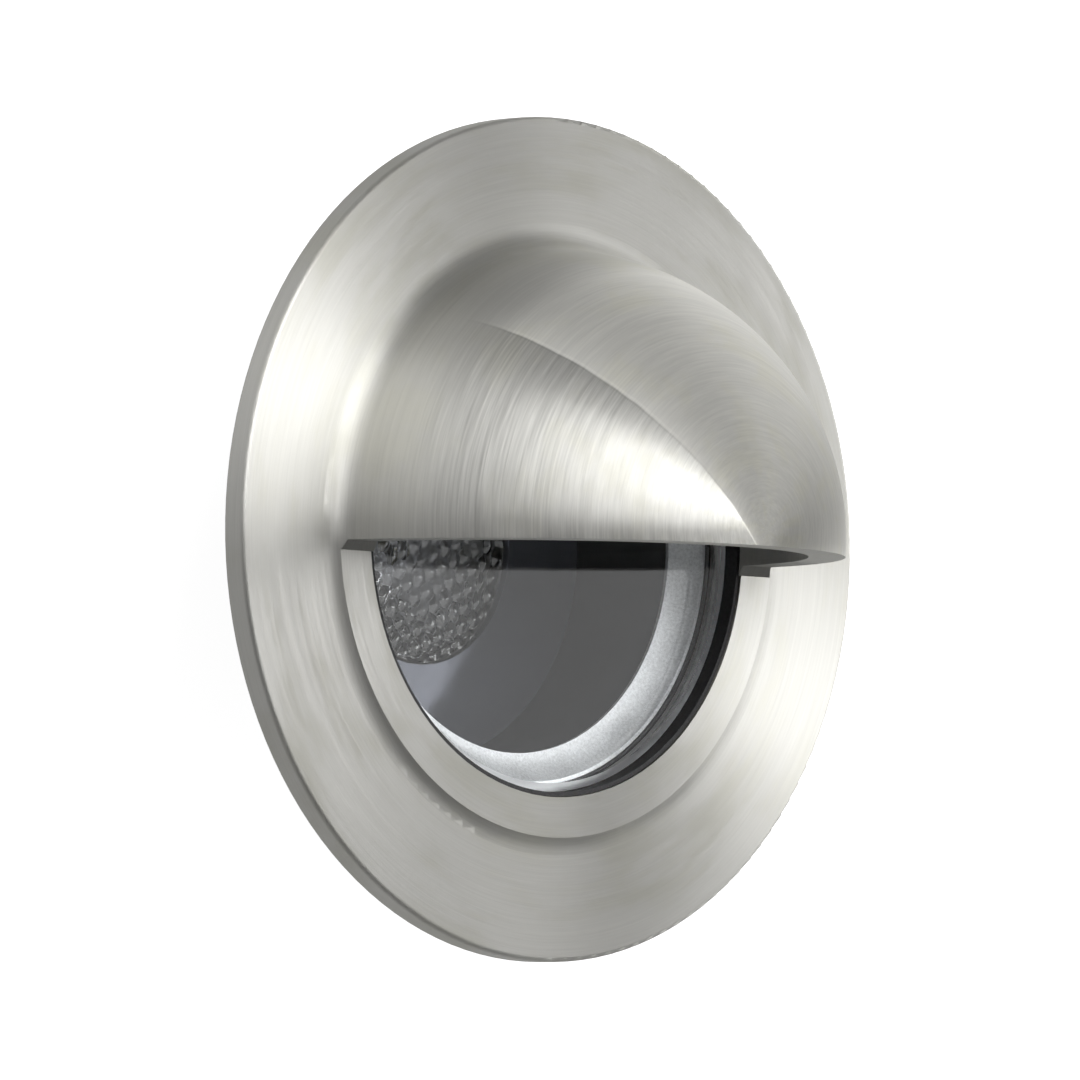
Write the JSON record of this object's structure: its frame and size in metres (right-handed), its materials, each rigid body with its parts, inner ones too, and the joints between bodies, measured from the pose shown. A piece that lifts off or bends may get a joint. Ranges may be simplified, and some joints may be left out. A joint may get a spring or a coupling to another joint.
{
  "type": "recessed eyelid ground light",
  "caption": "Round brushed stainless faceplate with a half-dome eyelid hood over a glass and a deep-set LED optic, on a black tapered housing with a cable gland and sprung clips.",
  "frame": {"origin": "centre of the housing's flat base, on the light's axis", "axes": "+Z out of the ground along the light's axis, +Y to the hooded side, +X to the cable gland"},
  "size_m": [0.11, 0.11, 0.0821],
  "materials": {
    "brushed_stainless": "circular brushed stainless steel, satin",
    "black_rubber": "matt black silicone rubber",
    "clear_glass": "clear toughened glass with polished edges",
    "black_cast_aluminium": "black powder coat on die-cast aluminium",
    "stainless_screw": "plain stainless steel",
    "satin_silver": "satin silver, finely speckled",
    "dark_grey_plastic": "matt dark grey moulding",
    "clear_acrylic": "clear moulded acrylic with a pebbled front",
    "black_plastic": "black nylon",
    "phosphor": "yellow phosphor under a clear dome",
    "white_board": "white solder mask on an aluminium board",
    "grey_pad": "soft grey-blue thermal pad",
    "white_plastic": "off-white nylon",
    "ferrite": "dark ferrite",
    "can_aluminium": "bright aluminium can",
    "chip_epoxy": "black moulded epoxy",
    "zinc_sheet": "plain stainless sheet, mill finish",
    "spring_steel": "drawn stainless spring wire"
  },
  "bodies": {
    "light": {"eyelid_cover": "brushed_stainless", "rim_gasket": "black_rubber", "glass_lens": "clear_glass", "glass_seal": "black_rubber", "housing": "black_cast_aluminium", "housing_seal": "black_rubber", "cover_screws": "stainless_screw", "reflector_ring": "satin_silver", "baffle_tube": "dark_grey_plastic", "inner_bezel": "dark_grey_plastic", "optic_lens": "clear_acrylic", "optic_holder": "black_plastic", "led_emitter": "phosphor", "led_board": "white_board", "thermal_pad": "grey_pad", "board_screws": "stainless_screw", "terminal_block": "white_plastic", "inductor": "ferrite", "capacitors": "can_aluminium", "rectifier": "chip_epoxy", "driver_chip": "chip_epoxy", "gland_body": "black_plastic", "gland_washer": "black_rubber", "gland_insert": "black_rubber", "gland_nut": "black_plastic", "clip_bracket_a": "zinc_sheet", "clip_pin_a": "stainless_screw", "clip_springs_a": "spring_steel", "clip_bracket_b": "zinc_sheet", "clip_pin_b": "stainless_screw", "clip_springs_b": "spring_steel", "bracket_screws": "stainless_screw"},
    "clip_a": {"clip_arm_a": "zinc_sheet"},
    "clip_b": {"clip_arm_b": "zinc_sheet"}
  },
  "joints": [
    {"name": "clip_a_hinge", "type": "hinge", "parent": "light", "child": "clip_a", "pos_m": [0, 0.041, 0.0157], "axis": [1, 0, 0], "range_deg": [0, 32], "stiffness_Nm_per_rad": 0.02, "springref_deg": -28.65, "deforming": ["clip_springs_a"]},
    {"name": "clip_b_hinge", "type": "hinge", "parent": "light", "child": "clip_b", "pos_m": [0, -0.041, 0.0157], "axis": [-1, 0, 0], "range_deg": [0, 32], "stiffness_Nm_per_rad": 0.02, "springref_deg": -28.65, "deforming": ["clip_springs_b"]}
  ]
}
